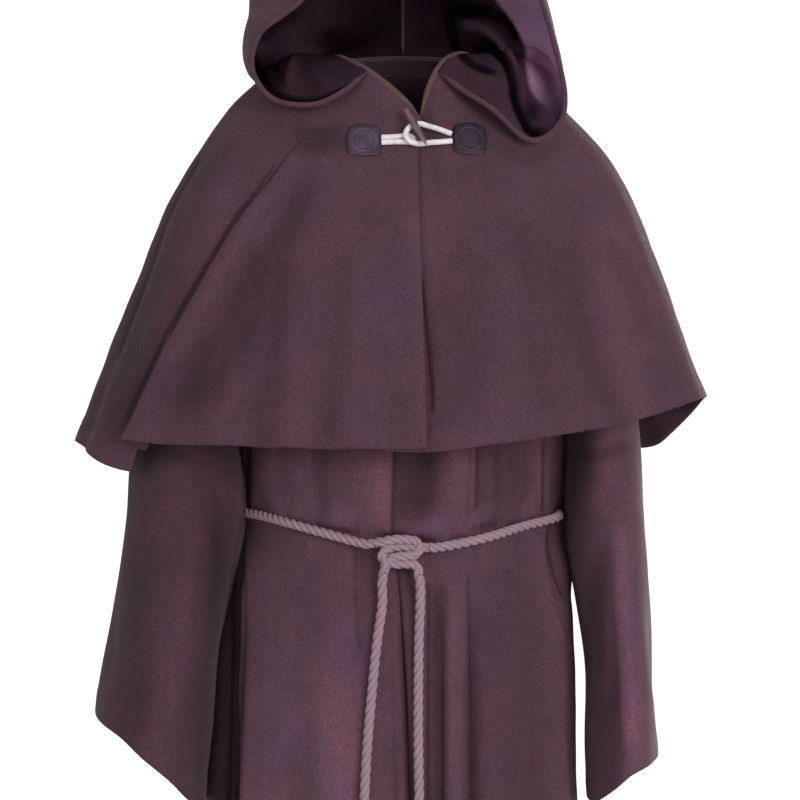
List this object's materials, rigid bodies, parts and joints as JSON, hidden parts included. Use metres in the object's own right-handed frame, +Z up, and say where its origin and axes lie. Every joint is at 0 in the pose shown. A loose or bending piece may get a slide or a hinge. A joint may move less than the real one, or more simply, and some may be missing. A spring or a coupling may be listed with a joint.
{
  "type": "hooded monk robe with shoulder cape and rope belt",
  "caption": "Full-length robe with wide bell sleeves, a shoulder cape with a deep hood closed by a toggle, and a knotted rope belt.",
  "frame": {"origin": "centre of the neck opening at the height of the sides of the neck, where the wearer's shoulders carry the garment", "axes": "+Z up along the garment's length, the front faces -Y, and the wearer's left is +X"},
  "size_m": [0.6796, 0.5037, 1.7178],
  "materials": {
    "wool": "napped wool-like cloth, dull plum brown",
    "rope": "laid rope of cotton-like yarn, dusty mauve",
    "leather": "soft dark leather, slightly glossy",
    "braid": "white braided cord",
    "horn": "smooth brown horn-like toggle"
  },
  "bodies": {
    "root": {"bodice_front": "wool", "bodice_back": "wool", "skirt_front": "wool", "skirt_back": "wool", "sleeve_right": "wool", "sleeve_left": "wool", "cape_front_right": "wool", "cape_front_left": "wool", "cape_back": "wool", "hood_right": "wool", "hood_left": "wool", "belt_waist": "rope", "belt_knot": "rope", "belt_tail_right": "rope", "belt_tail_left": "rope", "belt_end_right": "rope", "belt_end_left": "rope", "toggle_patch_right": "leather", "toggle_patch_left": "leather", "toggle_cord": "braid", "loop_cord": "braid", "toggle": "horn"}
  },
  "joints": []
}
